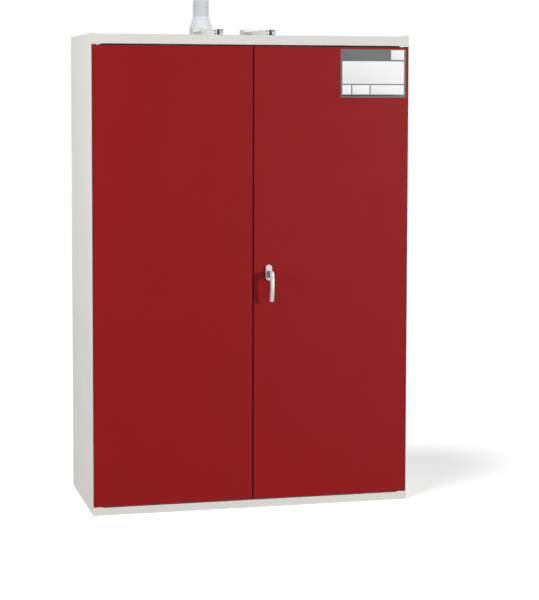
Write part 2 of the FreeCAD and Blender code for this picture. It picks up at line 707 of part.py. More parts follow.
def bolts():
    """Round bolts that the handle throws into the rails above and below the door."""
    inner = "lock_height / 2 + touch_gap"
    node(rod("bolt_upper", ("bolt_x", "bolt_y", f"handle_height + {inner}"), "z", "bolt_radius",
             f"door_top - bolt_gap - handle_height - ({inner})"))
    node(rod("bolt_lower", ("bolt_x", "bolt_y", "door_low + bolt_gap"), "z", "bolt_radius",
             f"handle_height - ({inner}) - door_low - bolt_gap"))


# ---------------------------------------------------------------- air valves on the roof

def air_valve(name, x):
    """A galvanised valve housing, its square collar through the roof and its release channel."""
    middle = f"{x} + valve_shift"
    housing = make_body(f"valve_housing_{name}")
    across = (f"{middle} - valve_width / 2", f"{middle} + valve_width / 2")
    deep = ("valve_front", "valve_front + valve_depth")
    pad(housing, draw_rectangle(plan_sketch(housing, "roof_top"), across, deep), "valve_height")
    pocket(housing, draw_circle(plan_sketch(housing, "valve_top"), x, "valve_y",
                                "valve_bore + 2 * touch_gap"))
    collar = make_body(f"valve_collar_{name}")
    walls = draw_rectangle(plan_sketch(collar, "bay_top + frame_gauge"),
                           (f"{x} - collar_out", f"{x} + collar_out"),
                           ("valve_y - collar_out", "valve_y + collar_out"))
    draw_circle(walls, x, "valve_y", "valve_bore")
    pad(collar, walls, "roof_top - bay_top - frame_gauge")
    bearing = draw_circle(side_sketch(collar, x), "valve_y", "damper_z", "damper_pin + running_gap")
    pocket(collar, bearing, both=True)
    channel = make_body(f"release_channel_{name}")
    left = f"{middle} + channel_shift - channel_width / 2"
    right = f"{middle} + channel_shift + channel_width / 2"
    inner = "channel_height - gauge"
    profile = draw_polygon(front_sketch(channel, "channel_front"), (
        (left, "roof_top"), (left, "roof_top + channel_height"), (right, "roof_top + channel_height"),
        (right, "roof_top"), (f"{right} - gauge", "roof_top"), (f"{right} - gauge", f"roof_top + {inner}"),
        (f"{left} + gauge", f"roof_top + {inner}"), (f"{left} + gauge", "roof_top"),
    ))
    pad(channel, profile, "channel_length")
    end_plate = draw_rectangle(front_sketch(channel, "channel_front"),
                               (left, f"{left} + end_plate_width"), ("roof_top", f"roof_top + {inner}"))
    pad(channel, end_plate, "gauge")


def release_blocks():
    """Heat-release blocks in the mouth of each release channel."""
    pieces = []
    for name, x in VALVES:
        left = f"{x} + valve_shift + channel_shift - channel_width / 2 + end_plate_width"
        pieces.append(block(f"release_block_{name}", (left, f"{left} + block_width"),
                            ("channel_front - gauge", "channel_front + block_length"),
                            ("roof_top", "roof_top + channel_height - gauge")))
    group("release_blocks", pieces)


def release_clamps():
    """Bent clamps beside the blocks, each with the nut that sets the release rod."""
    pieces = []
    for name, x in VALVES:
        left = f"{x} + valve_shift + channel_shift - channel_width / 2 + end_plate_width + block_width"
        right = f"{left} + clamp_width - gauge"
        foot = block(f"clamp_foot_{name}", (left, right),
                     ("channel_front - gauge", "channel_front + block_length"),
                     ("roof_top", "roof_top + hem"))
        web = block(f"clamp_web_{name}", (left, right), ("channel_front + hem", "channel_front + 2 * hem"),
                    ("roof_top", "roof_top + channel_height * 0.9"))
        nut = rod(f"clamp_nut_{name}", (f"({left} + {right}) / 2", "channel_front - hem",
                                        "roof_top + channel_height / 2"), "y", "clamp_width / 3", "3 * hem")
        pieces.append(joined(f"release_clamp_{name}", (foot, web, nut)))
    group("release_clamps", pieces)


def damper(name, x):
    """A round blade on a cross spindle. It stands upright while the valve is open."""
    blade = rod(f"blade_{name}", (f"{x}", "valve_y - damper_thick / 2", "damper_z"), "y",
                "damper_radius", "damper_thick")
    spindle = rod(f"spindle_{name}", (f"{x} - collar_out", "valve_y", "damper_z"), "x",
                  "damper_pin", "2 * collar_out")
    node(joined(f"damper_{name}", (blade, spindle)))


def reducer():
    """The turned plastic reducer between the exhaust housing and the pipe."""
    body = make_body("reducer")
    bore = "pipe_radius - pipe_wall"
    profile = draw_polygon(sketch_on(body, "XZ_Plane", "0"), (
        ("rim_radius", "valve_top"), ("rim_radius", "valve_top + rim_height"), ("pipe_radius", "pipe_low"),
        (bore, "pipe_low"), (bore, "valve_top"),
    ))
    turned = body.newObject("PartDesign::Revolution", "reducer_turned")
    turned.Profile = profile
    turned.ReferenceAxis = (profile, ["V_Axis"])
    turned.Angle = 360.0
    body.setExpression("Placement.Base.x", bound("exhaust_x"))
    body.setExpression("Placement.Base.y", bound("valve_y"))


def exhaust_pipe():
    body = make_body("exhaust_pipe")
    ring = draw_circle(plan_sketch(body, "pipe_low"), "exhaust_x", "valve_y", "pipe_radius")
    draw_circle(ring, "exhaust_x", "valve_y", "pipe_radius - pipe_wall")
    pad(body, ring, "pipe_length")


# ---------------------------------------------------------------- fittings inside the bay

def back_rails():
    """Three C-rails across the back, each folded from one strip with its stand-off feet."""
    pieces = []
    for step in range(3):
        low = f"low_rail + {step} * rail_step"
        high = f"{low} + rail_height"
        across = (minus("bay_half - rail_margin"), "bay_half - rail_margin")
        rail = block(f"rail_{step}", across, ("rail_front", "rail_face"), (low, high))
        slot = block(f"rail_slot_{step}", across, ("rail_front", "rail_front + frame_gauge"),
                     (f"{low} + rail_height / 3", f"{high} - rail_height / 3"))
        room = block(f"rail_room_{step}", across, ("rail_front + frame_gauge", "rail_face - frame_gauge"),
                     (f"{low} + frame_gauge", f"{high} - frame_gauge"))
        rail_shape = cut_from(f"rail_fold_{step}", rail, (slot, room))
        feet = []
        for side, sign in SIDES:
            foot = span(sign, "bay_half - rail_margin - rail_height", "bay_half - rail_margin")
            feet.append(block(f"rail_foot_{step}_{side}", foot, ("rail_face", "bay_back"), (low, high)))
        pieces.append(joined(f"rail_with_feet_{step}", (rail_shape, *feet)))
    group("back_rails", pieces)


def cylinder_cradles():
    """Angle plates on the two lower rails, each with four round seats for the cylinders."""
    pieces = []
    for step in range(2):
        low = f"low_rail + {step} * rail_step + rail_height / 2 - cradle_height / 2"
        across = (minus("bay_half - 3 * rail_margin"), "bay_half - 3 * rail_margin")
        shelf = block(f"cradle_shelf_{step}", across, ("cradle_front", "rail_front"),
                      (low, f"{low} + cradle_gauge"))
        wall = block(f"cradle_wall_{step}", across, ("rail_front - cradle_gauge", "rail_front"),
                     (low, f"{low} + cradle_height"))
        seats = []
        for place in (-1.5, -0.5, 0.5, 1.5):
            start = (f"{place} * bay_half / 2", "cradle_front - cylinder_radius + cradle_bite", low)
            seats.append(rod(f"seat_{step}_{place}", start, "z", "cylinder_radius", "cradle_gauge"))
        plate = cut_from(f"cradle_plate_{step}", shelf, seats)
        pieces.append(joined(f"cradle_{step}", (plate, wall)))
    group("cylinder_cradles", pieces)


def supply_duct():
    """The flat duct that leads fresh air down the back lining: a cover on two webs."""
    tall = ("bay_low + duct_lift", "bay_top")
    half = "duct_width / 2"
    pieces = [block("duct_cover", (f"supply_x - {half}", f"supply_x + {half}"),
                    ("bay_back - duct_depth", "bay_back - duct_depth + frame_gauge"), tall)]
    deep = ("bay_back - duct_depth + frame_gauge", "bay_back")
    webs = (("left", (f"supply_x - {half}", f"supply_x - {half} + frame_gauge")),
            ("right", (f"supply_x + {half} - frame_gauge", f"supply_x + {half}")))
    for side, across in webs:
        pieces.append(block(f"duct_web_{side}", across, deep, tall))
    group("supply_duct", pieces)


def ramp():
    """The folding roll-in ramp, laid back flat on the bay floor."""
    half = "ramp_width / 2"
    low, high = "ramp_z - knuckle_radius", "ramp_z - knuckle_radius + ramp_gauge"
    near_edge = "ramp_y + knuckle_radius + 2 * touch_gap"
    deep = (near_edge, "ramp_y + ramp_length")
    pieces = [block("ramp_plate", (minus(half), half), deep, (low, high))]
    for side, sign in SIDES:
        edge = span(sign, f"{half} - ramp_gauge", half)
        pieces.append(block(f"ramp_edge_{side}", edge, deep, (low, f"{low} + ramp_edge")))
        start = f"{sign} * ramp_width / 3 - knuckle_length / 2"
        pieces.append(rod(f"knuckle_{side}", (start, "ramp_y", "ramp_z"), "x", "knuckle_radius",
                          "knuckle_length"))
        pieces.append(block(f"knuckle_tab_{side}", (start, f"{start} + knuckle_length"),
                            ("ramp_y", near_edge), (low, high)))
    bores = [rod(f"knuckle_bore_{side}",
                 (f"{sign} * ramp_width / 3 - knuckle_length", "ramp_y", "ramp_z"), "x",
                 "ramp_pin + running_gap", "2 * knuckle_length") for side, sign in SIDES]
    node(cut_from("ramp", joined("ramp_solid", pieces), bores))


def ramp_pins():
    """Two pins on floor lugs that carry the ramp."""
    pieces = []
    for side, sign in SIDES:
        middle = f"{sign} * ramp_width / 3"
        reach = "(knuckle_length / 2 + touch_gap)"
        pin = rod(f"ramp_pin_{side}", (f"{middle} - {reach} - hem", "ramp_y", "ramp_z"), "x", "ramp_pin",
                  f"2 * ({reach} + hem)")
        lugs = []
        for end, low in (("near", f"{middle} - {reach} - hem"), ("far", f"{middle} + {reach}")):
            lugs.append(block(f"ramp_lug_{side}_{end}", (low, f"{low} + hem"),
                              ("ramp_y - knuckle_radius", "ramp_y + knuckle_radius"),
                              ("bay_low", "ramp_z + ramp_pin + 2 * touch_gap")))
        pieces.append(joined(f"ramp_bearing_{side}", (pin, *lugs)))
    group("ramp_pins", pieces)


def earth_stud():
    """The earthing stud on the roof, near its rear edge."""
    node(rod("earth_stud", ("bay_half / 2", "back - 2 * rear_return", "roof_top"), "z", "stud_radius",
             "stud_height"))


# ---------------------------------------------------------------- the whole cabinet

def build_all():
    for side, sign in SIDES:
        side_cladding(side, sign)
    back_cladding()
    roof_cladding()
    fascia()
    plinth()
    base_pan()
    insulation()
    lining()
    door_frame()
    fire_strips()
    hinge_brackets()
    for side, sign in SIDES:
        door_skin(side, sign)
        door_core(side, sign)
        door_liner(side, sign)
        door_gasket(side, sign)
        door_bushes(side, sign)
    rosette()
    handle()
    key_plug()
    lock_case()
    bolts()
    for name, x in VALVES:
        air_valve(name, x)
        damper(name, x)
    release_blocks()
    release_clamps()
    reducer()
    exhaust_pipe()
    back_rails()
    cylinder_cradles()
    supply_duct()
    ramp()
    ramp_pins()
    earth_stud()


def check_all():
    """Stops with a message if any object failed or any sub-part's shape is not sound."""
    failed = [item.Name for item in doc.Objects if {"Invalid", "Error"} & set(item.State)]
    if failed:
        raise RuntimeError(f"objects that did not build: {failed}")
    for made in NODES:
        if made.Shape.isNull() or not made.Shape.isValid():
            raise RuntimeError(f"{made.Label} has no valid shape")


def write_all():
    os.makedirs("parts", exist_ok=True)
    for made in NODES:
        made.Shape.exportStep(f"parts/{made.Label}.step")


sheet = make_sheet()
places = make_places()
build_all()
doc.recompute()
check_all()
write_all()
print(len(NODES), "sub-parts written")
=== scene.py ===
"""Finishes and small fittings of a two-door cabinet for pressurised-gas cylinders.

Everything is in metres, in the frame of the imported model: +X right, +Y back, +Z up.
"""
import json
import math

import bmesh
import bpy
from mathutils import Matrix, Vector


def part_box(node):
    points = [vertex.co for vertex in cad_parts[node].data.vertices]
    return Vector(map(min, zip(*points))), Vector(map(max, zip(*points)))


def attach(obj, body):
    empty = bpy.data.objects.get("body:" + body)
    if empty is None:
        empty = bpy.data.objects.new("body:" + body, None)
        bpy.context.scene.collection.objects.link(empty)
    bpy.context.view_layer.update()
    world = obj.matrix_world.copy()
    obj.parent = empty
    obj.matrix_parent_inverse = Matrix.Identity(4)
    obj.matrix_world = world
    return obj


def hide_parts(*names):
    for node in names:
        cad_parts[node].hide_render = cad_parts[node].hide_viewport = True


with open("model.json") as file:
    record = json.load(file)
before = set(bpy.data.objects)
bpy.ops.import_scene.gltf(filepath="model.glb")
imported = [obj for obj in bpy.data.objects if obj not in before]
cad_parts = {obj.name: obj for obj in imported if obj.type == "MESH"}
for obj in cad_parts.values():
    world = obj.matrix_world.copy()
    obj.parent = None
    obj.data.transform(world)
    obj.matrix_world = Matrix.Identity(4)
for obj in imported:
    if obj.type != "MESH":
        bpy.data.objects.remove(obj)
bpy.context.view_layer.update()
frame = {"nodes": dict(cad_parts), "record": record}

SIDES = (("left", -1), ("right", 1))


# ---------------------------------------------------------------- material helpers

class Finish:
    """A node material with a Principled shader and short ways to feed it."""

    def __init__(self, name, colour, roughness, metallic=0.0, specular=0.5):
        self.material = bpy.data.materials.new(name)
        self.material.use_nodes = True
        self.nodes = self.material.node_tree.nodes
        self.links = self.material.node_tree.links
        self.shader = self.nodes["Principled BSDF"]
        self.colour = (*colour, 1.0)
        self.set("Base Color", self.colour)
        self.set("Roughness", roughness)
        self.set("Metallic", metallic)
        self.set("Specular IOR Level", specular)
        self.place = self.nodes.new("ShaderNodeTexCoord").outputs["Object"]

    def set(self, socket, value):
        """A constant on one of the shader's own sockets."""
        self.shader.inputs[socket].default_value = value

    def node(self, kind, **values):
        """A new node with its settings."""
        made = self.nodes.new(kind)
        for key, value in values.items():
            setattr(made, key, value)
        return made

    def stretched(self, scale):
        """Object coordinates scaled along each axis."""
        made = self.node("ShaderNodeMapping")
        made.inputs["Scale"].default_value = scale
        self.links.new(self.place, made.inputs["Vector"])
        return made.outputs["Vector"]

    def noise(self, scale, detail=3.0, rough=0.5, vector=None):
        """A soft random pattern."""
        made = self.node("ShaderNodeTexNoise")
        made.inputs["Scale"].default_value = scale
        made.inputs["Detail"].default_value = detail
        made.inputs["Roughness"].default_value = rough
        self.links.new(vector or self.place, made.inputs["Vector"])
        return made.outputs["Fac"]

    def crystals(self, scale):
        """One random value for each cell of a Voronoi pattern."""
        made = self.node("ShaderNodeTexVoronoi")
        made.inputs["Scale"].default_value = scale
        self.links.new(self.place, made.inputs["Vector"])
        return made.outputs["Color"]

    def band(self, source, low, high, start, end):
        """The source stretched from low..high to start..end."""
        made = self.node("ShaderNodeMapRange")
        span = (("From Min", low), ("From Max", high), ("To Min", start), ("To Max", end))
        for socket, value in span:
            made.inputs[socket].default_value = value
        self.links.new(source, made.inputs["Value"])
        return made.outputs["Result"]

    def tint(self, source, dark, light):
        """Base colour between two factors of the finish's own colour."""
        made = self.node("ShaderNodeMix", data_type="RGBA")
        self.links.new(source, made.inputs["Factor"])
        for item in made.inputs:
            if item.type == "RGBA" and item.name == "A":
                item.default_value = [c * dark for c in self.colour[:3]] + [1.0]
            if item.type == "RGBA" and item.name == "B":
                item.default_value = [min(1.0, c * light) for c in self.colour[:3]] + [1.0]
        result = next(o for o in made.outputs if o.type == "RGBA")
        self.links.new(result, self.shader.inputs["Base Color"])

    def drive(self, socket, source):
        """Feeds one of the shader's sockets from a pattern."""
        self.links.new(source, self.shader.inputs[socket])

    def bump(self, source, strength, distance):
        """Fine relief on top of any relief that is already there."""
        made = self.node("ShaderNodeBump")
        made.inputs["Strength"].default_value = strength
        made.inputs["Distance"].default_value = distance
        self.links.new(source, made.inputs["Height"])
        previous = self.shader.inputs["Normal"]
        if previous.is_linked:
            self.links.new(previous.links[0].from_socket, made.inputs["Normal"])
        self.links.new(made.outputs["Normal"], previous)


def powder_coat(name, colour, roughness, peel=900.0, specular=0.5):
    """Sprayed powder coat: fine orange peel, faint cloudiness in its gloss and colour."""
    coat = Finish(name, colour, roughness, specular=specular)
    coat.tint(coat.noise(2.2, 4.0), 0.97, 1.03)
    gloss = coat.noise(6.0, 3.0)
    coat.drive("Roughness", coat.band(gloss, 0.3, 0.7, roughness - 0.05, roughness + 0.05))
    coat.bump(coat.noise(peel, 2.0, 0.4), 0.10, 0.0002)
    coat.bump(coat.noise(3.0, 1.0), 0.04, 0.002)
    return coat.material


def galvanised(name, colour, roughness, metallic=0.55):
    """Zinc-coated sheet with its faint crystal spangle."""
    zinc = Finish(name, colour, roughness, metallic=metallic)
    spangle = zinc.crystals(110.0)
    zinc.tint(spangle, 0.90, 1.08)
    zinc.drive("Roughness", zinc.band(spangle, 0.0, 1.0, roughness - 0.08, roughness + 0.10))
    zinc.bump(zinc.noise(700.0, 2.0), 0.06, 0.0002)
    return zinc.material


def brushed(name, colour, roughness, metallic, along):
    """Metal with fine lines along one axis."""
    steel = Finish(name, colour, roughness, metallic=metallic)
    lines = steel.noise(60.0, 4.0, 0.7, steel.stretched(along))
    steel.tint(lines, 0.92, 1.05)
    steel.drive("Roughness", steel.band(lines, 0.3, 0.7, roughness - 0.05, roughness + 0.07))
    steel.bump(lines, 0.05, 0.0002)
    return steel.material


def moulded(name, colour, roughness, grain=500.0):
    """Plastic or rubber with a fine moulded grain."""
    plastic = Finish(name, colour, roughness)
    plastic.tint(plastic.noise(12.0, 3.0), 0.96, 1.03)
    plastic.bump(plastic.noise(grain, 2.0), 0.08, 0.0002)
    gloss = plastic.noise(25.0)
    plastic.drive("Roughness", plastic.band(gloss, 0.3, 0.7, roughness - 0.04, roughness + 0.05))
    return plastic.material


def raw_board(name, colour):
    """Pressed mineral board with a chalky, fibrous surface."""
    board = Finish(name, colour, 0.9, specular=0.2)
    board.tint(board.noise(60.0, 6.0, 0.7), 0.85, 1.08)
    board.bump(board.noise(220.0, 4.0), 0.35, 0.0008)
    return board.material


DOOR_RED = (0.272, 0.0066, 0.0082)
SHELL_GREY = (0.715, 0.702, 0.668)

FINISHES = {
    "door_paint": powder_coat("door_red_coat", DOOR_RED, 0.34, specular=0.12),
    "shell_paint": powder_coat("shell_grey_coat", SHELL_GREY, 0.52, specular=0.35),
    "lining": powder_coat("lining_grey_coat", (0.62, 0.63, 0.62), 0.45, 600.0),
    "frame_steel": powder_coat("frame_grey_coat", (0.50, 0.51, 0.51), 0.5),
    "fire_board": raw_board("fire_board_raw", (0.60, 0.57, 0.50)),
    "rubber": moulded("seal_rubber", (0.018, 0.018, 0.019), 0.62),
    "strip": moulded("swelling_strip", (0.045, 0.044, 0.046), 0.75),
    "zinc": galvanised("galvanised_sheet", (0.60, 0.588, 0.56), 0.50),
    # A lighter copy of the galvanised sheet: painted light.
    "zinc_painted_light": galvanised("zinc_sheet_painted_light", (0.80, 0.80, 0.785), 0.42, 0.15),
    "bright_steel": brushed("bright_steel", (0.55, 0.55, 0.55), 0.32, 0.95, (1, 1, 12)),
    "lever_metal": brushed("lever_silver", (0.465, 0.46, 0.45), 0.42, 0.70, (1, 1, 8)),
    # The neck's dark red-grey is painted reflection of the red door.
    "neck_metal": brushed("neck_silver_painted_red_reflection", (0.29, 0.245, 0.245), 0.20, 0.95, (1, 6, 1)),
    "brass": brushed("plug_brass", (0.46, 0.30, 0.15), 0.35, 0.9, (10, 1, 10)),
    "pipe_plastic": moulded("pipe_grey", (0.54, 0.553, 0.58), 0.52, 300.0),
    # The cone is the same grey plastic as the pipe; its lighter grey is painted light on its sloped face.
    "cone_plastic_painted_light": moulded("cone_grey_painted_light", (0.675, 0.687, 0.715), 0.50, 300.0),
    "black_plastic": moulded("black_moulding", (0.02, 0.02, 0.022), 0.5),
    "notice_grey": moulded("notice_frame_print", (0.120, 0.130, 0.130), 0.60, 150.0),
    "notice_white": moulded("notice_field_print", (0.89, 0.89, 0.89), 0.62, 150.0),
    "notice_black": moulded("notice_line_print", (0.012, 0.013, 0.018), 0.60, 150.0),
}


# Nodes given a lighter copy of the galvanised sheet: painted light, the same zinc as the rest made
# brighter in its colour.
ZINC_PAINTED_LIGHT_NODES = ("release_channel", "release_clamps")


def dress_cad_nodes():
    """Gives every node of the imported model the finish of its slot."""
    slots = {item["node"]: item["material_slot"] for item in frame["record"]["subparts"]}
    for name, item in frame["nodes"].items():
        # The release channels and clamps take the lighter zinc copy, which is painted light.
        finish = "zinc_painted_light" if name.startswith(ZINC_PAINTED_LIGHT_NODES) else slots[name]
        item.data.materials.clear()
        item.data.materials.append(FINISHES[finish])


# ---------------------------------------------------------------- mesh helpers

MM = 0.001
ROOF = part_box("roof_cladding")[1][2]
DOOR = {side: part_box(f"door_skin_{side}") for side, _ in SIDES}
FRONT = DOOR["right"][0][1]
RAMP_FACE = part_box("ramp")[0][2] + 3 * MM


def corners(node):
    """The low and the high corner of a node's box."""
    low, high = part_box(node)
    return Vector(low), Vector(high)


def finish_mesh(name, bm, material, body, crease=32):
    """Turns a bmesh into a shaded object that rides on a body."""
    bmesh.ops.recalc_face_normals(bm, faces=bm.faces)
    mesh = bpy.data.meshes.new(name)
    bm.to_mesh(mesh)
    bm.free()
    mesh.materials.append(material)
    mesh.polygons.foreach_set("use_smooth", [True] * len(mesh.polygons))
    mesh.set_sharp_from_angle(angle=math.radians(crease))
    made = bpy.data.objects.new(name, mesh)
    bpy.context.scene.collection.objects.link(made)
    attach(made, body)
    return made


def bridge(bm, rings, closed=False, capped=False):
    """Faces between rings of points; closed joins the last to the first, capped fills both."""
    following = rings[1:] + rings[:1] if closed else rings[1:]
    for near, far in zip(rings, following):
        for step in range(len(near)):
            after = (step + 1) % len(near)
            bm.faces.new((near[step], near[after], far[after], far[step]))
    if capped:
        bm.faces.new(rings[0][::-1])
        bm.faces.new(rings[-1])


def add_prism(bm, outline, place, low, high):
    """A closed prism: a flat outline of (u, v) pairs, put in space by place(u, v, height)."""
    bottom = [bm.verts.new(place(u, v, low)) for u, v in outline]
    top = [bm.verts.new(place(u, v, high)) for u, v in outline]
    bm.faces.new(bottom[::-1])
    rim = bm.faces.new(top)
    bridge(bm, [bottom, top])
    return rim


def facing_front(u, v, height):
    """X, Z and a height out of the door's face."""
    return u, FRONT - height, v


def lying_flat(u, v, height):
    """X, Y and a height above the floor."""
    return u, v, height


def rounded_box(low, high, radius, steps=5):
    """The outline of a rectangle with round corners."""
    (x0, y0), (x1, y1) = low, high
    points = []
    for x, y, turn in ((x1, y1, 0), (x0, y1, 90), (x0, y0, 180), (x1, y0, 270)):
        inward = (-1 if x == x1 else 1, -1 if y == y1 else 1)
        for step in range(steps + 1):
            angle = math.radians(turn + 90 * step / steps)
            points.append((x + radius * (inward[0] + math.cos(angle)),
                           y + radius * (inward[1] + math.sin(angle))))
    return points


def soften(bm, rims, width, segments=2):
    """Rounds the edges of the given faces."""
    edges = {edge for face in rims for edge in face.edges}
    bmesh.ops.bevel(bm, geom=list(edges), offset=width, segments=segments, profile=0.5,
                    affect="EDGES")


def turned_rings(bm, profile, place, count):
    """Rings of points about an axis from (radius, height) pairs, put in space by place."""
    turns = [2 * math.pi * step / count for step in range(count)]
    return [[bm.verts.new(place(radius * math.cos(t), radius * math.sin(t), height)) for t in turns]
            for radius, height in profile]


def add_frame(bm, low, high, profile):
    """A mitred frame: (grow, y) pairs carried round the rectangle low..high in X and Z."""
    (x0, z0), (x1, z1) = low, high
    turns = ((x0, z0, -1, -1), (x1, z0, 1, -1), (x1, z1, 1, 1), (x0, z1, -1, 1))
    bridge(bm, [[bm.verts.new((x + sx * grow, y, z + sz * grow)) for grow, y in profile]
                for x, z, sx, sz in turns], closed=True)


# ---------------------------------------------------------------- repeats (Geometry Nodes)

SCREW_SIDES = 28
CROWN_WIDTH = 0.82
CROWN_HEIGHT = 0.22
SOCKET_SIDES = 6
SOCKET_WIDTH = 0.52
STUD_SIDES = 20
STUD_TOP = 0.62


class Tree:
    """A Geometry Nodes tree with named inputs and short ways to fill it."""

    def __init__(self, name, inputs):
        self.group = bpy.data.node_groups.new(name, "GeometryNodeTree")
        face = self.group.interface
        face.new_socket("Geometry", in_out="OUTPUT", socket_type="NodeSocketGeometry")
        for label, kind in inputs:
            face.new_socket(label, in_out="INPUT", socket_type=f"NodeSocket{kind}")
        self.given = self.group.nodes.new("NodeGroupInput").outputs

    def node(self, kind, feeds, **settings):
        """The first output of a new node; feeds gives each input a value, a source or a list."""
        made = self.group.nodes.new(kind)
        for key, value in settings.items():
            setattr(made, key, value)
        for socket, feed in feeds.items():
            for source in feed if isinstance(feed, list) else [feed]:
                if isinstance(source, bpy.types.NodeSocket):
                    self.group.links.new(source, made.inputs[socket])
                else:
                    made.inputs[socket].default_value = source
        return made.outputs[0]

    def share(self, source, factor):
        """A length times a factor."""
        return self.node("ShaderNodeMath", {0: source, 1: factor}, operation="MULTIPLY")

    def repeat(self, points, item, turn):
        """Real copies of an item on points, turned by an Euler vector."""
        rotation = self.node("FunctionNodeEulerToRotation", {0: turn})
        placed = self.node("GeometryNodeInstanceOnPoints",
                           {"Points": points, "Instance": item, "Rotation": rotation})
        return self.node("GeometryNodeRealizeInstances", {"Geometry": placed})

    def dressed(self, geometry):
        """The finished tree, its geometry given the material of its Finish input."""
        result = self.node("GeometryNodeSetMaterial",
                           {"Geometry": geometry, "Material": self.given["Finish"]})
        self.group.links.new(result, self.group.nodes.new("NodeGroupOutput").inputs[0])
        return self.group


def screw_tree():
    """A row of socket-head screws: a chamfered head with a six-sided socket, set along a line."""
    tree = Tree("screw_row", (
        ("Start", "Vector"), ("Step", "Vector"), ("Count", "Int"), ("Turn", "Vector"),
        ("Head Radius", "Float"), ("Head Height", "Float"), ("Socket Radius", "Float"),
        ("Finish", "Material")))
    given = tree.given
    radius, height = given["Head Radius"], given["Head Height"]
    body = tree.node("GeometryNodeMeshCylinder",
                     {"Vertices": SCREW_SIDES, "Radius": radius, "Depth": height})
    crown = tree.node("GeometryNodeMeshCone", {
        "Vertices": SCREW_SIDES, "Radius Top": tree.share(radius, CROWN_WIDTH),
        "Radius Bottom": radius, "Depth": tree.share(height, CROWN_HEIGHT)})
    up = tree.node("ShaderNodeCombineXYZ", {"Z": tree.share(height, 0.5)})
    lifted = tree.node("GeometryNodeTransform", {"Geometry": crown, "Translation": up})
    union = tree.node("GeometryNodeMeshBoolean", {"Mesh 2": [body, lifted]}, operation="UNION")
    socket = tree.node("GeometryNodeMeshCylinder",
                       {"Vertices": SOCKET_SIDES, "Radius": given["Socket Radius"], "Depth": height})
    sunk = tree.node("GeometryNodeTransform", {"Geometry": socket, "Translation": up})
    drilled = tree.node("GeometryNodeMeshBoolean", {"Mesh 1": union, "Mesh 2": sunk},
                        operation="DIFFERENCE")
    seated = tree.node("GeometryNodeTransform", {"Geometry": drilled, "Translation": up})
    line = tree.node("GeometryNodeMeshLine", {
        "Count": given["Count"], "Start Location": given["Start"], "Offset": given["Step"]},
        mode="OFFSET")
    return tree.dressed(tree.repeat(line, seated, given["Turn"]))


def stud_tree():
    """A field of pressed oval studs on a grid, each turned one way or the other."""
    tree = Tree("stud_field", (
        ("Middle", "Vector"), ("Turn", "Vector"), ("Width", "Float"), ("Length", "Float"),
        ("Across", "Int"), ("Along", "Int"), ("Stud Size", "Vector"), ("Stud Lean", "Float"),
        ("Finish", "Material")))
    given = tree.given
    field = tree.node("GeometryNodeMeshGrid", {
        "Size X": given["Width"], "Size Y": given["Length"],
        "Vertices X": given["Across"], "Vertices Y": given["Along"]})
    stud = tree.node("GeometryNodeMeshCone", {
        "Vertices": STUD_SIDES, "Radius Top": STUD_TOP, "Radius Bottom": 1.0, "Depth": 1.0})
    sized = tree.node("GeometryNodeTransform", {"Geometry": stud, "Scale": given["Stud Size"]})
    index = tree.node("GeometryNodeInputIndex", {})
    odd = tree.node("ShaderNodeMath", {0: index, 1: 2.0}, operation="MODULO")
    way = tree.node("ShaderNodeMath", {0: odd, 1: 2.0, 2: -1.0}, operation="MULTIPLY_ADD")
    lean = tree.node("ShaderNodeCombineXYZ", {"Z": tree.share(way, given["Stud Lean"])})
    moved = tree.node("GeometryNodeTransform", {
        "Geometry": tree.repeat(field, sized, lean), "Translation": given["Middle"],
        "Rotation": given["Turn"]})
    return tree.dressed(moved)


SCREWS = screw_tree()
STUDS = stud_tree()

# The turn that points an item's top each way.
TOWARDS = {"front": (math.pi / 2, 0, 0), "back": (-math.pi / 2, 0, 0), "up": (0, 0, 0),
           "down": (math.pi, 0, 0), "left": (0, -math.pi / 2, 0), "right": (0, math.pi / 2, 0)}


def grow_from_tree(tree, settings):
    """The mesh that a tree makes with its named inputs set."""
    carrier = bpy.data.objects.new("tree_carrier", bpy.data.meshes.new("tree_carrier"))
    modifier = carrier.modifiers.new("tree", "NODES")
    modifier.node_group = tree
    sockets = {item.name: item.identifier for item in tree.interface.items_tree
               if item.in_out == "INPUT"}
    for name, value in settings.items():
        modifier[sockets[name]] = value
    bpy.context.scene.collection.objects.link(carrier)
    view = bpy.context.evaluated_depsgraph_get()
    mesh = bpy.data.meshes.new_from_object(carrier.evaluated_get(view))
    bpy.data.objects.remove(carrier)
    return mesh


def screw_rows(name, body, rows, radius, height, material, towards):
    """Rows of (start, step, count) screws joined into one piece."""
    bm = bmesh.new()
    for start, step, count in rows:
        mesh = grow_from_tree(SCREWS, {
            "Start": start, "Step": step, "Count": count, "Turn": TOWARDS[towards],
            "Head Radius": radius, "Head Height": height, "Socket Radius": radius * SOCKET_WIDTH,
            "Finish": material})
        bm.from_mesh(mesh)
        bpy.data.meshes.remove(mesh)
    return finish_mesh(name, bm, material, body, crease=25)


def stud_field(name, body, fields, material, towards):
    """Fields of (middle, (width, length), (across, along), stud size, lean) joined into one piece."""
    bm = bmesh.new()
    for middle, size, counts, stud, lean in fields:
        mesh = grow_from_tree(STUDS, {
            "Middle": middle, "Turn": TOWARDS[towards], "Width": size[0], "Length": size[1],
            "Across": counts[0], "Along": counts[1], "Stud Size": stud, "Stud Lean": lean,
            "Finish": material})
        bm.from_mesh(mesh)
        bpy.data.meshes.remove(mesh)
    return finish_mesh(name, bm, material, body, crease=40)


# ---------------------------------------------------------------- handle and rosette

LEVER_HALF = 9.7 * MM
LEVER_THICK = 12.5 * MM
LEVER_WAIST = 52 * MM
OUTER_ARC = 215 * MM
INNER_ARC = 185 * MM
WAIST_SLIM = 0.07
WAIST_REACH = 35 * MM
HEAD_ANGLES = (88, 78, 66, 52, 38, 25, 12, 0)
HEAD_THIN = 0.72
GRIP_RINGS = 30
RING_POINTS = 32
SQUARENESS = 0.72
FOOT_ROUND = 1.2 * MM
FOOT_SHRINK = 0.10
NECK_RADIUS = 9.2 * MM
BARREL_RADIUS = 7.5 * MM
BARREL_DROP = 14.5 * MM
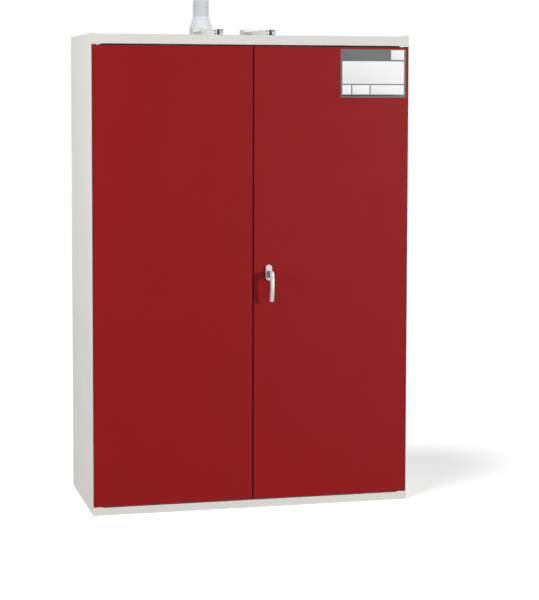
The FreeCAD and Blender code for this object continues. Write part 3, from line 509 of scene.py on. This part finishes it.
# The neck's growth and its height over the rosette, in millimetres.
NECK_PROFILE = ((0.3, 0.2), (0.3, 1.4), (-0.3, 3.0), (-0.7, 12.0), (-0.8, 24.0), (-0.5, 36.0),
                (0.2, 44.0), (0.4, 52.0))
ROSETTE_ROLL = 3.2 * MM


def lever_section(z, waist_z, outer_y):
    """Middle depth, half thickness and half width of the lever at the height z."""
    away = z - waist_z
    front = outer_y + away ** 2 / OUTER_ARC / 2
    back = outer_y + LEVER_THICK + away ** 2 / INNER_ARC / 2
    slim = 1 - WAIST_SLIM * math.exp(-((away + 5 * MM) / WAIST_REACH) ** 2)
    return (front + back) / 2, (back - front) / 2, LEVER_HALF * slim


def squared(value):
    """A cosine or sine made fuller, for a rounded rectangle."""
    return math.copysign(abs(value) ** SQUARENESS, value)


def build_lever():
    """The cast lever: rounded sections along its bow, a round head above and a square-cut foot."""
    handle_low, handle_high = corners("handle")
    rosette_low, rosette_high = corners("rosette")
    x = (rosette_low.x + rosette_high.x) / 2
    spindle_z = (rosette_low.z + rosette_high.z) / 2
    foot, head_z = handle_low.z, handle_high.z - LEVER_HALF
    heights = [head_z + LEVER_HALF * math.sin(math.radians(a)) for a in HEAD_ANGLES]
    heights += [head_z + (foot + FOOT_ROUND - head_z) * step / GRIP_RINGS
                for step in range(1, GRIP_RINGS + 1)]
    bm = bmesh.new()
    rings = []
    for z in heights + [foot + FOOT_ROUND / 3, foot]:
        middle, half, wide = lever_section(z, spindle_z - LEVER_WAIST, handle_low.y)
        if z > head_z:
            wide = math.sqrt(max(LEVER_HALF ** 2 - (z - head_z) ** 2, 1e-9))
            half *= HEAD_THIN + (1 - HEAD_THIN) * wide / LEVER_HALF
        shrink = 1 - max(0, foot + FOOT_ROUND - z) / FOOT_ROUND * FOOT_SHRINK
        turns = [2 * math.pi * step / RING_POINTS for step in range(RING_POINTS)]
        rings.append([bm.verts.new((x + squared(math.cos(turn)) * wide * shrink,
                                    middle + squared(math.sin(turn)) * half * shrink, z))
                      for turn in turns])
    bridge(bm, rings, capped=True)
    lever = finish_mesh("lever_casting", bm, FINISHES["lever_metal"], "lever", crease=40)
    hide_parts("handle")
    build_neck(x, spindle_z, FRONT - rosette_low.y)


def neck_outline(grow, steps=14):
    """The neck's outline round the spindle and the lock barrel below it."""
    lean = math.asin((NECK_RADIUS - BARREL_RADIUS) / BARREL_DROP)
    arcs = ((NECK_RADIUS, 0, -lean, math.pi + lean),
            (BARREL_RADIUS, BARREL_DROP, math.pi + lean, 2 * math.pi - lean))
    outline = []
    for radius, drop, start, end in arcs:
        for step in range(steps + 1):
            turn = start + (end - start) * step / steps
            outline.append(((radius + grow) * math.cos(turn),
                            (radius + grow) * math.sin(turn) - drop))
    return outline


def build_neck(x, spindle_z, foot):
    """The neck between the plate and the lever, waisted in the middle and spread at both ends."""
    bm = bmesh.new()
    bridge(bm, [[bm.verts.new((x + u, FRONT - foot - height * MM, spindle_z + v))
                 for u, v in neck_outline(grow * MM)] for grow, height in NECK_PROFILE], capped=True)
    # The neck's red-grey finish is painted reflection of the red door.
    finish_mesh("lever_neck", bm, FINISHES["neck_metal"], "lever")


def build_rosette():
    """The long oval plate behind the lever, with a soft rolled edge."""
    low, high = corners("rosette")
    bm = bmesh.new()
    radius = (high.x - low.x) / 2 - 0.2 * MM
    outline = rounded_box((low.x, low.z), (high.x, high.z), radius, steps=12)
    rim = add_prism(bm, outline, facing_front, 0, FRONT - low.y)
    soften(bm, [rim], ROSETTE_ROLL, 5)
    plate = finish_mesh("rosette_plate", bm, FINISHES["lever_metal"], "right_door", crease=50)
    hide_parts("rosette")


# ---------------------------------------------------------------- notice plate

NOTICE_WIDE, NOTICE_TALL = 297 * MM, 210 * MM
NOTICE_FROM_SIDE = 9.5 * MM
NOTICE_FROM_TOP = 9 * MM
NOTICE_THICK = 0.9 * MM
PRINT_SUNK = 0.5 * MM
# Fields as shares of the plate: from and to across it, from and to up it.
WHITE_FIELDS = ((0.027, 0.972, 0.285, 0.752), (0.027, 0.163, 0.066, 0.262), (0.180, 0.443, 0.066, 0.262),
                (0.460, 0.972, 0.066, 0.262), (0.772, 0.972, 0.782, 0.985))
DARK_FIELDS = ((0.027, 0.815, 0.036, 0.060),)


def build_notice_plate():
    """A blank A4 notice plate: grey frame and header band, white fields and a dark foot line."""
    right = DOOR["right"][1][0] - NOTICE_FROM_SIDE
    top = DOOR["right"][1][2] - NOTICE_FROM_TOP
    left, foot = right - NOTICE_WIDE, top - NOTICE_TALL
    bm = bmesh.new()
    outline = rounded_box((left, foot), (right, top), 2.5 * MM)
    soften(bm, [add_prism(bm, outline, facing_front, 0, NOTICE_THICK)], 0.25 * MM)
    plate = finish_mesh("notice_plate", bm, FINISHES["notice_grey"], "right_door")
    for name, fields, height, finish, slot in (
            ("notice_fields", WHITE_FIELDS, 1.15 * MM, "notice_white", "shell_paint"),
            ("notice_foot_line", DARK_FIELDS, 1.1 * MM, "notice_black", "black_plastic")):
        bm = bmesh.new()
        for near, far, below, above in fields:
            low = (left + NOTICE_WIDE * near, foot + NOTICE_TALL * below)
            high = (left + NOTICE_WIDE * far, foot + NOTICE_TALL * above)
            outline = rounded_box(low, high, 0.8 * MM, 3)
            soften(bm, [add_prism(bm, outline, facing_front, PRINT_SUNK, height)], 0.08 * MM)
        finish_mesh(name, bm, FINISHES[finish], "right_door")


# ---------------------------------------------------------------- seals

SEAL_INSET = 6 * MM
SEAL_FROM_MIDDLE = 28 * MM
# A lipped hollow section in millimetres: out from the inset line and back from the seal's front.
SEAL_DEEP = 8.5
SEAL_PROFILE = ((4, 0), (18, 0), (18, 2.4), (15.4, 2.8), (16.4, 4.6), (15.8, 6.8), (13.6, 8.2), (11, 8.5),
                (8.4, 8.2), (6.4, 6.6), (6.0, 4.6), (7.2, 2.8), (4, 2.4))


def build_seals():
    """Lipped hollow seals round the door plugs, and the strips on the doors' free edges."""
    bay_low, bay_high = corners("fire_strips")
    for side, sign in SIDES:
        back = corners(f"door_gasket_{side}")[1].y
        near, far = sorted((sign * SEAL_FROM_MIDDLE, sign * (bay_high.x - SEAL_INSET)))
        bm = bmesh.new()
        add_frame(bm, (near, bay_low.z + SEAL_INSET), (far, bay_high.z - SEAL_INSET),
                  [(grow * MM, back - SEAL_DEEP * MM + deep * MM) for grow, deep in SEAL_PROFILE])
        seal = finish_mesh(f"plug_seal_{side}", bm, FINISHES["rubber"], f"{side}_door", crease=50)
        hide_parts(f"door_gasket_{side}")
        bm = bmesh.new()
        near, far = sorted((sign * 0.5 * MM, sign * 3 * MM))
        outline = rounded_box((near, FRONT + 12 * MM), (far, FRONT + 22 * MM), 0.8 * MM, 4)
        add_prism(bm, outline, lying_flat, DOOR[side][0][2], DOOR[side][1][2])
        finish_mesh(f"edge_seal_{side}", bm, FINISHES["rubber"], f"{side}_door", crease=50)


# ---------------------------------------------------------------- roof units

SLEEVE_POINTS = 72
PIPE_INSET = 1.6 * MM
PIPE_WALL = 2.6 * MM
CONE_COLLAR = 13.5 * MM
CONE_WALL = 4 * MM
VALVES = ("exhaust", "supply")


def turned_on(node, name, profile, finish):
    """A turned sleeve on a node's upright axis, from (radius, z) pairs."""
    low, high = corners(node)
    x, y = (low.x + high.x) / 2, (low.y + high.y) / 2
    bm = bmesh.new()
    bridge(bm, turned_rings(bm, profile, lambda u, v, z: (x + u, y + v, z), SLEEVE_POINTS),
           closed=True)
    sleeve = finish_mesh(name, bm, FINISHES[finish], "carcass", crease=12)
    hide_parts(node)


def build_pipe():
    """The plastic pipe with a rolled mouth, in the cone's socket with its sealing bead."""
    low, high = corners("exhaust_pipe")
    outer = (high.x - low.x) / 2 - PIPE_INSET
    inner = outer - PIPE_WALL
    top = high.z
    turned_on("exhaust_pipe", "pipe_stub", (
        (outer, low.z), (outer, top - 2.4 * MM), (outer - 0.5 * MM, top - 0.7 * MM),
        (outer - 1.3 * MM, top), (inner + 0.3 * MM, top), (inner, top - 0.8 * MM),
        (inner, low.z)), "pipe_plastic")
    low, high = corners("reducer")
    rim = (high.x - low.x) / 2
    foot, head, shoulder = low.z, high.z, low.z + CONE_COLLAR
    # The cone's lighter grey finish is painted light.
    turned_on("reducer", "pipe_cone", (
        (rim - 1.2 * MM, foot), (rim, foot + 1.2 * MM), (rim, shoulder),
        (rim - 1.0 * MM, shoulder + 1.4 * MM), (outer + 2.2 * MM, head - 8 * MM),
        (outer + 1.6 * MM, head - 5 * MM), (outer + 1.6 * MM, head - 0.8 * MM),
        (outer + 0.8 * MM, head), (outer + 0.1 * MM, head), (outer + 0.1 * MM, head - 10 * MM),
        (rim - CONE_WALL, shoulder), (rim - CONE_WALL, foot)), "cone_plastic_painted_light")


def build_roof_details():
    """Screws of the roof sheet, of the valve housings and of the channels' end plates."""
    steel = FINISHES["bright_steel"]
    plate_rows, housing_rows = [], []
    for name in VALVES:
        low, high = corners(f"release_channel_{name}")
        plate_rows.append(((low.x + 6 * MM, low.y, high.z - 7.5 * MM), (0, 0, -12.5 * MM), 2))
        low, high = corners(f"valve_housing_{name}")
        housing_rows.append(((low.x + 5 * MM, low.y, low.z + 20 * MM), (26 * MM, 0, 0), 2))
    screw_rows("end_plate_screws", "carcass", plate_rows, 3.4 * MM, 2.2 * MM,
               FINISHES["black_plastic"], "front")
    screw_rows("housing_screws", "carcass", housing_rows, 2.6 * MM, 1.6 * MM, steel, "front")
    low, high = corners("roof_cladding")
    pitch = (high.x - low.x - 80 * MM) / 6
    roof_rows = [((low.x + 40 * MM, y, ROOF), (pitch, 0, 0), 7)
                 for y in (low.y + 110 * MM, high.y - 24 * MM)]
    screw_rows("roof_screws", "carcass", roof_rows, 4.5 * MM, 2.4 * MM, steel, "up")


NUT_FROM_END = 10.75 * MM
# In millimetres: (radius, height over the clamp's front) round the washer.
WASHER_PROFILE = ((5.6, -6), (8.4, -6), (8.6, -5.2), (8.2, -4.4), (5.6, -4.4))
# In millimetres: left, low, right and high edge, then the heights of back and front.
SLOTS = ((-4.6, -1.0, 4.6, 1.0, -0.5, 0.15), (-8, 10.2, 7, 11.8, -6.2, -5.2))


def build_release_details():
    """A black washer and black slots on the nut of each release clamp: painted shade, black pieces
    standing in for the shade inside the clamp's bracket.
    """
    face = corners("release_clamps")[0].y
    washers, slots = bmesh.new(), bmesh.new()
    for name in VALVES:
        low, high = corners(f"release_channel_{name}")
        x, z = high.x - NUT_FROM_END, (low.z + high.z) / 2

        def place(u, v, height):
            return x + u * MM, face - height * MM, z + v * MM

        # Black washer and slot pieces: painted shade inside the clamp's bracket.
        bridge(washers, turned_rings(washers, WASHER_PROFILE, place, 40), capped=True)
        for left, foot, right, top, rear, front in SLOTS:
            add_prism(slots, ((left, foot), (right, foot), (right, top), (left, top)), place, rear, front)
    for name, bm in (("release_washers_painted_shade", washers), ("release_slots_painted_shade", slots)):
        finish_mesh(name, bm, FINISHES["black_plastic"], "carcass")


# ---------------------------------------------------------------- rear sheet

GROOVE_DEPTH = 1.0 * MM
GROOVE_LINE = 64.5 * MM
# In millimetres: inset and corner radius of each ring round the sheet, from its front to its rear.
REAR_RINGS = ((0, 0.3, "front"), (0, 0.3, "rear"), (58, 14, "rear"), (60, 13, "sunk"), (69, 9, "sunk"),
              (71, 8, "rear"))


def build_rear_sheet():
    """The rear sheet with a groove pressed in round it and its screws sunk in the groove."""
    low, high = corners("back_cladding")
    levels = {"front": low.y, "rear": high.y, "sunk": high.y - GROOVE_DEPTH}
    rings = []
    bm = bmesh.new()
    for inset, radius, level in REAR_RINGS:
        near, far = (low.x + inset * MM, low.z + inset * MM), (high.x - inset * MM, high.z - inset * MM)
        rings.append([bm.verts.new((u, levels[level], v))
                      for u, v in rounded_box(near, far, radius * MM, 8)])
    bridge(bm, rings, capped=True)
    sheet = finish_mesh("rear_sheet", bm, FINISHES["shell_paint"], "carcass", crease=20)
    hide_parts("back_cladding")
    left, right = low.x + GROOVE_LINE, high.x - GROOVE_LINE
    foot, top = low.z + GROOVE_LINE, high.z - GROOVE_LINE
    rise, reach = (top - foot - 60 * MM) / 6, (right - left - 60 * MM) / 4
    rows = [((x, levels["sunk"], foot + 30 * MM), (0, 0, rise), 7) for x in (left, right)]
    rows += [((left + 30 * MM, levels["sunk"], z), (reach, 0, 0), 5) for z in (foot, top)]
    screw_rows("rear_screws", "carcass", rows, 3.6 * MM, 0.75 * MM, FINISHES["bright_steel"], "back")


# ---------------------------------------------------------------- inside the cabinet

GRILLE_HALF = 41 * MM
GRILLE_BORDER = 7 * MM
GRILLE_BAR = (36 * MM, 2.3 * MM, 3.0 * MM)
LOUVRE = (30 * MM, 4.6 * MM, 4.2 * MM)
RIVET = (5 * MM, 5 * MM, 1.5 * MM)
RIVET_MIDDLE = 1.02
HAIR = 1.0 * MM


def build_grille(ceiling):
    """The exhaust grille under the bay's ceiling: a raised frame and nine bars."""
    low, high = corners("valve_collar_exhaust")
    middle = (low + high) / 2
    inside = GRILLE_HALF - GRILLE_BORDER
    outer = rounded_box((-GRILLE_HALF, -GRILLE_HALF), (GRILLE_HALF, GRILLE_HALF), 6 * MM, 6)
    inner = rounded_box((-inside, -inside), (inside, inside), 3 * MM, 6)
    bm = bmesh.new()
    bridge(bm, [[bm.verts.new((middle.x + u, middle.y - v, ceiling - height)) for u, v in outline]
                for outline, height in ((outer, 0.0), (outer, 1.6 * MM), (inner, 3.0 * MM),
                                        (inner, 0.0))], closed=True)
    finish_mesh("exhaust_grille_frame", bm, FINISHES["lining"], "carcass", crease=25)
    stud_field("exhaust_grille_bars", "carcass",
               [((middle.x, middle.y, ceiling + 0.4 * MM), (HAIR, 60 * MM), (1, 9), GRILLE_BAR, 0.0)],
               FINISHES["lining"], "down")


def build_bay_details():
    """Exhaust grille, louvres and screws of the supply duct, and rivets of the side linings."""
    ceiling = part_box("lining_roof")[0][2]
    build_grille(ceiling)
    low, high = corners("supply_duct")
    middle = ((low.x + high.x) / 2, low.y + 0.3 * MM, low.z + 110 * MM)
    stud_field("duct_louvres", "carcass", [(middle, (HAIR, 150 * MM), (1, 9), LOUVRE, 0.0)],
               FINISHES["lining"], "front")
    rise = (high.z - low.z - 60 * MM) / 6
    rows = [((x, low.y, low.z + 30 * MM), (0, 0, rise), 7) for x in (low.x + 6 * MM, high.x - 6 * MM)]
    screw_rows("duct_screws", "carcass", rows, 3.2 * MM, 2.0 * MM, FINISHES["bright_steel"], "front")
    side = corners("lining_right")[0]
    back_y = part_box("lining_back")[0][1]
    tall = ceiling - 260 * MM
    for name, x, way in (("left", -side.x, "right"), ("right", side.x, "left")):
        stud_field(f"lining_rivets_{name}", "carcass",
                   [((x, y, RIVET_MIDDLE), (tall, HAIR), (8, 1), RIVET, 0.0)
                    for y in (side.y + 22 * MM, back_y - 22 * MM)], FINISHES["lining"], way)


def build_ramp_studs():
    """The tear-plate pattern pressed up out of the roll-in ramp."""
    low, high = corners("ramp")
    middle = ((low.x + high.x) / 2, (low.y + high.y) / 2 + 8 * MM, RAMP_FACE)
    size = (high.x - low.x - 50 * MM, high.y - low.y - 70 * MM)
    stud_field("ramp_studs", "roll_in_ramp",
               [(middle, size, (23, 11), (9 * MM, 3.2 * MM, 1.4 * MM), math.radians(45))],
               FINISHES["zinc"], "up")


LINER_ROW_NEAR = 56 * MM
LINER_ROW_FAR = 62 * MM
LINER_ROW_FOOT = 120 * MM


def build_door_details():
    """Screws round the inner pan of each door."""
    for side, sign in SIDES:
        low, high = corners(f"door_liner_{side}")
        near, far = sorted(sign * corner.x for corner in corners(f"door_gasket_{side}"))
        rise = (high.z - low.z - 2 * LINER_ROW_FOOT) / 6
        rows = [((sign * x, high.y, low.z + LINER_ROW_FOOT), (0, 0, rise), 7)
                for x in (near + LINER_ROW_NEAR, far - LINER_ROW_FAR)]
        screw_rows(f"liner_screws_{side}", f"{side}_door", rows, 4.0 * MM, 2.2 * MM,
                   FINISHES["bright_steel"], "back")


def build_pieces():
    """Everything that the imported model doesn't hold, or holds more plainly."""
    build_lever()
    build_rosette()
    build_notice_plate()
    build_seals()
    build_pipe()
    build_roof_details()
    build_release_details()
    build_rear_sheet()
    build_bay_details()
    build_ramp_studs()
    build_door_details()


# ---------------------------------------------------------------- studio

AMBIENT = 0.24
FLOOR_DIM = 0.32
FLOOR_PALE = 0.90
FLOOR_GLOW = 0.43
FLOOR_SIZE = 60.0
AIM_POINT = (0, -0.3, 1.05)
# Azimuth, elevation, distance, size and watts of the two soft boxes.
KEY_RIGHT = (39.5, 8, 18.0, (1.5, 1.5), 2000)
SIDE_LEFT = (-75, 20, 3.6, (1.6, 1.6), 50)
# Azimuth, elevation, width in the sky and strength of the even light.
OVERHEAD = (-56, 66, 16, 1.35)
CAMERA_SPOT = (-1.798, -7.745, 1.7925)
CAMERA_TURN = (85.98, -0.123, -14.107)
CAMERA_LENS = 106.89
CAMERA_SENSOR = 36.0
CAMERA_RISE = -0.1333


def floor_finish():
    """Pale floor that reads white to the eye and still takes the cabinet's shadow."""
    floor = Finish("studio_floor", (FLOOR_DIM, FLOOR_DIM, FLOOR_DIM), 0.9, specular=0.0)
    path = floor.node("ShaderNodeLightPath")
    seen = floor.node("ShaderNodeMath", operation="ADD", use_clamp=True)
    floor.links.new(path.outputs["Is Camera Ray"], seen.inputs[0])
    floor.links.new(path.outputs["Is Glossy Ray"], seen.inputs[1])
    glow = floor.node("ShaderNodeMath", operation="MULTIPLY")
    glow.inputs[1].default_value = FLOOR_GLOW
    floor.links.new(seen.outputs[0], glow.inputs[0])
    floor.set("Emission Color", (1, 1, 1, 1))
    floor.drive("Emission Strength", glow.outputs[0])
    paper = floor.node("ShaderNodeMapRange")
    paper.inputs["To Min"].default_value = FLOOR_DIM
    paper.inputs["To Max"].default_value = FLOOR_PALE
    floor.links.new(seen.outputs[0], paper.inputs["Value"])
    floor.drive("Base Color", paper.outputs["Result"])
    return floor.material


def studio_world():
    """White to the camera and in reflections, a plain dim fill for everything else."""
    world = bpy.data.worlds.new("studio")
    world.use_nodes = True
    nodes, links = world.node_tree.nodes, world.node_tree.links
    background = nodes["Background"]
    background.inputs["Color"].default_value = (1, 1, 1, 1)
    path = nodes.new("ShaderNodeLightPath")
    seen = nodes.new("ShaderNodeMath")
    seen.operation = "ADD"
    links.new(path.outputs["Is Camera Ray"], seen.inputs[0])
    links.new(path.outputs["Is Transmission Ray"], seen.inputs[1])
    both = nodes.new("ShaderNodeMath")
    both.operation = "ADD"
    both.use_clamp = True
    links.new(seen.outputs[0], both.inputs[0])
    links.new(path.outputs["Is Glossy Ray"], both.inputs[1])
    level = nodes.new("ShaderNodeMapRange")
    level.inputs["To Min"].default_value = AMBIENT
    level.inputs["To Max"].default_value = 1.0
    links.new(both.outputs[0], level.inputs["Value"])
    links.new(level.outputs["Result"], background.inputs["Strength"])
    bpy.context.scene.world = world


def soft_box(name, azimuth, elevation, distance, size, power):
    """A rectangular lamp at a distance from the point it is aimed at."""
    lamp = bpy.data.lights.new(name, "AREA")
    lamp.shape = "RECTANGLE"
    lamp.size, lamp.size_y = size
    lamp.energy = power
    made = bpy.data.objects.new(name, lamp)
    made.location = Vector(AIM_POINT) + aim(made, azimuth, elevation) * distance
    made.visible_camera = False


def aim(lamp, azimuth, elevation):
    """Turns a lamp to shine from an azimuth (0 is the front, 90 the right) and elevation."""
    turn, rise = math.radians(azimuth), math.radians(elevation)
    away = Vector((math.sin(turn) * math.cos(rise), -math.cos(turn) * math.cos(rise), math.sin(rise)))
    lamp.rotation_euler = (-away).to_track_quat("-Z", "Y").to_euler()
    bpy.context.scene.collection.objects.link(lamp)
    return away


def wide_sun(name, azimuth, elevation, spread, strength):
    """An even light over the whole floor, as wide in the sky as the spread in degrees."""
    lamp = bpy.data.lights.new(name, "SUN")
    lamp.energy = strength
    lamp.angle = math.radians(spread)
    aim(bpy.data.objects.new(name, lamp), azimuth, elevation)


def studio():
    """White floor and surroundings, three lights and the front camera."""
    scene = bpy.context.scene
    scene.view_settings.view_transform = "Standard"
    bpy.ops.mesh.primitive_plane_add(size=FLOOR_SIZE, location=(0, 0, 0))
    floor = bpy.context.object
    floor.name = "floor"
    floor.data.materials.append(floor_finish())
    studio_world()
    soft_box("key_right", *KEY_RIGHT)
    soft_box("side_left", *SIDE_LEFT)
    wide_sun("overhead", *OVERHEAD)
    camera_data = bpy.data.cameras.new("camera")
    camera_data.sensor_width = CAMERA_SENSOR
    camera_data.lens = CAMERA_LENS
    camera_data.shift_y = CAMERA_RISE
    camera = bpy.data.objects.new("camera", camera_data)
    camera.location = CAMERA_SPOT
    camera.rotation_euler = [math.radians(turn) for turn in CAMERA_TURN]
    scene.collection.objects.link(camera)
    scene.camera = camera


# ---------------------------------------------------------------- building the scene

dress_cad_nodes()
build_pieces()
studio()
